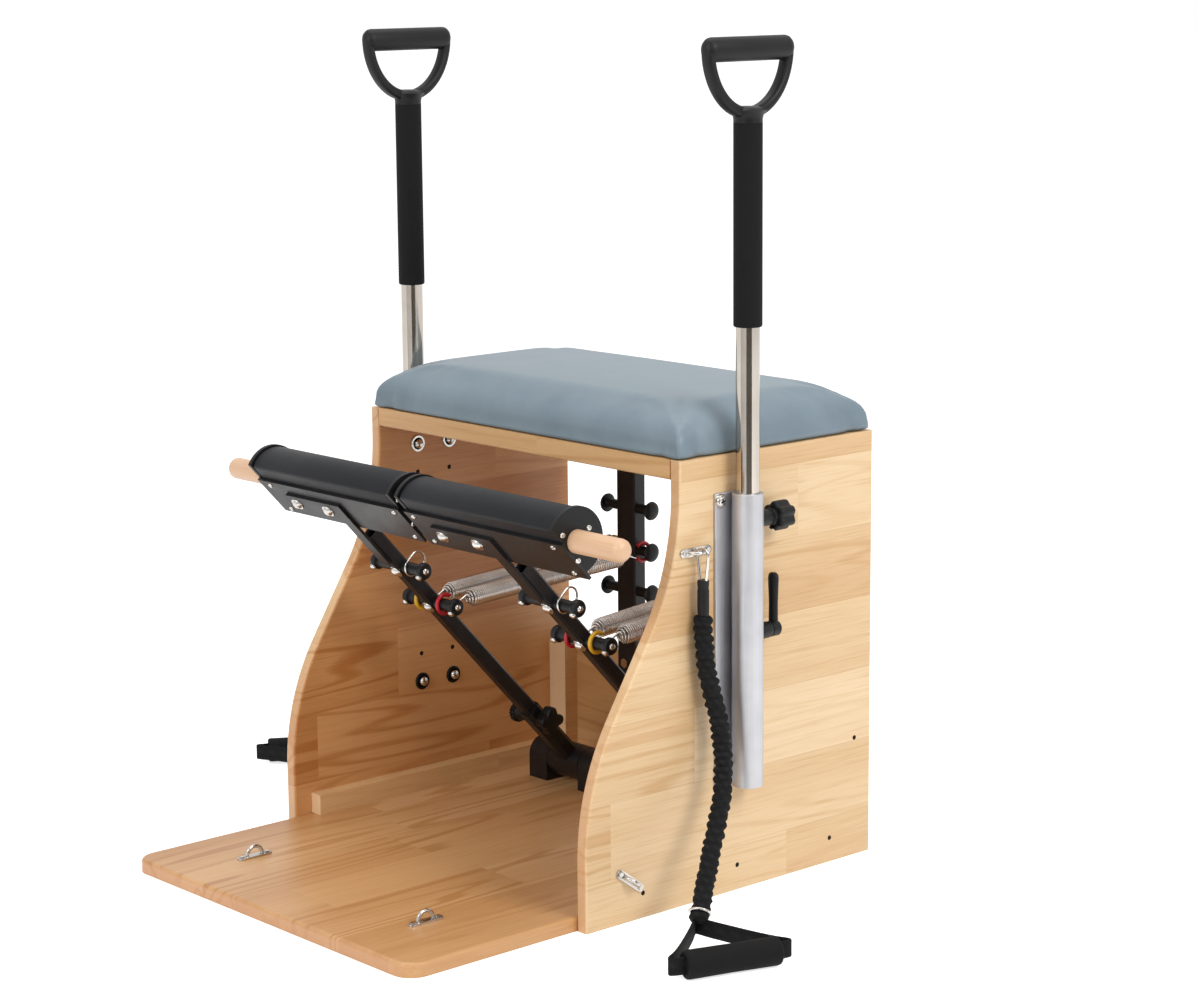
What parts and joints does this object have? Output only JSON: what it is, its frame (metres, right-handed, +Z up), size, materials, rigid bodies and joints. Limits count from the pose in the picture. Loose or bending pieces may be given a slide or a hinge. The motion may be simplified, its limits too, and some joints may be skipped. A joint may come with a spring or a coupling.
{
  "type": "pilates chair",
  "caption": "Wooden exercise chair with a padded seat, split sprung pedals with padded rollers, rear spring columns, side hand posts and side cords.",
  "frame": {"origin": "on the floor, at the middle of the footprint of the frame and pedals (side cords left out)", "axes": "+Z up, -Y towards the pedals at the front, +X across to the right as seen from the front"},
  "size_m": [1.1708, 0.766, 1.0795],
  "materials": {
    "beech": "clear satin lacquer",
    "plywood": "raw",
    "dowel_wood": "clear matt lacquer",
    "seat_vinyl": "soft grained vinyl",
    "pad_vinyl": "soft grained vinyl",
    "black_coat": "satin powder coat",
    "black_plastic": "moulded",
    "extrusion": "satin anodised",
    "bright_steel": "polished",
    "plain_steel": "bright drawn",
    "black_cloth": "woven",
    "black_foam": "closed-cell foam"
  },
  "bodies": {
    "frame": {"side_panel_left": "beech", "side_panel_right": "beech", "base_board": "beech", "rear_board": "beech", "battens": "beech", "top_deck": "beech", "rear_top_rail": "beech", "seat_board": "plywood", "seat_cushion": "seat_vinyl", "spring_columns": "black_coat", "column_pegs": "black_plastic", "post_holder_left": "extrusion", "post_holder_right": "extrusion", "frame_bolts": "bright_steel", "holder_nuts": "bright_steel", "pad_eyes": "bright_steel", "eye_screws": "bright_steel", "bearing_blocks": "black_coat", "hinge_shafts": "plain_steel", "clamp_bosses": "plain_steel", "left_cord": "black_cloth", "right_cord": "black_cloth", "cord_links": "bright_steel", "cord_ferrules": "black_plastic", "cord_straps": "black_cloth", "cord_grips": "black_foam"},
    "left_pedal": {"left_hub": "black_coat", "left_arm": "black_coat", "left_pad_plate": "black_coat", "left_pad_cushion": "pad_vinyl", "left_pad_ends": "black_plastic", "left_dowel": "dowel_wood", "left_pedal_fasteners": "bright_steel", "left_spring_pegs": "black_plastic", "left_clamp_nut": "black_plastic", "left_spring_inner": "plain_steel", "left_spring_outer": "plain_steel"},
    "left_arm_clamp": {"left_clamp_knob": "black_plastic"},
    "left_hand_post": {"left_post": "bright_steel", "left_grip_sleeve": "black_foam", "left_handle": "black_plastic"},
    "left_post_screw": {"left_post_knob": "black_plastic"},
    "left_post_clamp": {"left_post_lever": "black_plastic"},
    "right_pedal": {"right_hub": "black_coat", "right_arm": "black_coat", "right_pad_plate": "black_coat", "right_pad_cushion": "pad_vinyl", "right_pad_ends": "black_plastic", "right_dowel": "dowel_wood", "right_pedal_fasteners": "bright_steel", "right_spring_pegs": "black_plastic", "right_clamp_nut": "black_plastic", "right_spring_inner": "plain_steel", "right_spring_outer": "plain_steel"},
    "right_arm_clamp": {"right_clamp_knob": "black_plastic"},
    "right_hand_post": {"right_post": "bright_steel", "right_grip_sleeve": "black_foam", "right_handle": "black_plastic"},
    "right_post_screw": {"right_post_knob": "black_plastic"},
    "right_post_clamp": {"right_post_lever": "black_plastic"}
  },
  "joints": [
    {"name": "left_pedal_hinge", "type": "hinge", "parent": "frame", "child": "left_pedal", "pos_m": [-0.154, 0.269, 0.05], "axis": [1, 0, 0], "range_deg": [0, 45], "stiffness_Nm_per_rad": 40, "springref_deg": -25.78, "deforming": ["left_spring_inner", "left_spring_outer"]},
    {"name": "left_arm_clamp_turn", "type": "hinge", "parent": "left_pedal", "child": "left_arm_clamp", "pos_m": [-0.154, 0.19671, 0.12752], "axis": [1, 0, 0], "continuous": true},
    {"name": "left_post_slide", "type": "slide", "parent": "frame", "child": "left_hand_post", "axis": [0, 0, 1], "range_m": [-0.18, 0.1]},
    {"name": "left_post_screw_turn", "type": "hinge", "parent": "frame", "child": "left_post_screw", "pos_m": [-0.333, 0.18, 0.484], "axis": [0, 1, 0], "continuous": true},
    {"name": "left_post_clamp_swing", "type": "hinge", "parent": "frame", "child": "left_post_clamp", "pos_m": [-0.333, 0.18, 0.34], "axis": [0, 1, 0], "range_deg": [-180, 0]},
    {"name": "right_pedal_hinge", "type": "hinge", "parent": "frame", "child": "right_pedal", "pos_m": [0.154, 0.269, 0.05], "axis": [1, 0, 0], "range_deg": [0, 45], "stiffness_Nm_per_rad": 40, "springref_deg": -25.78, "deforming": ["right_spring_inner", "right_spring_outer"]},
    {"name": "right_arm_clamp_turn", "type": "hinge", "parent": "right_pedal", "child": "right_arm_clamp", "pos_m": [0.154, 0.19671, 0.12752], "axis": [1, 0, 0], "continuous": true},
    {"name": "right_post_slide", "type": "slide", "parent": "frame", "child": "right_hand_post", "axis": [0, 0, 1], "range_m": [-0.18, 0.1]},
    {"name": "right_post_screw_turn", "type": "hinge", "parent": "frame", "child": "right_post_screw", "pos_m": [0.333, 0.18, 0.484], "axis": [0, 1, 0], "continuous": true},
    {"name": "right_post_clamp_swing", "type": "hinge", "parent": "frame", "child": "right_post_clamp", "pos_m": [0.333, 0.18, 0.34], "axis": [0, 1, 0], "range_deg": [0, 180]}
  ]
}
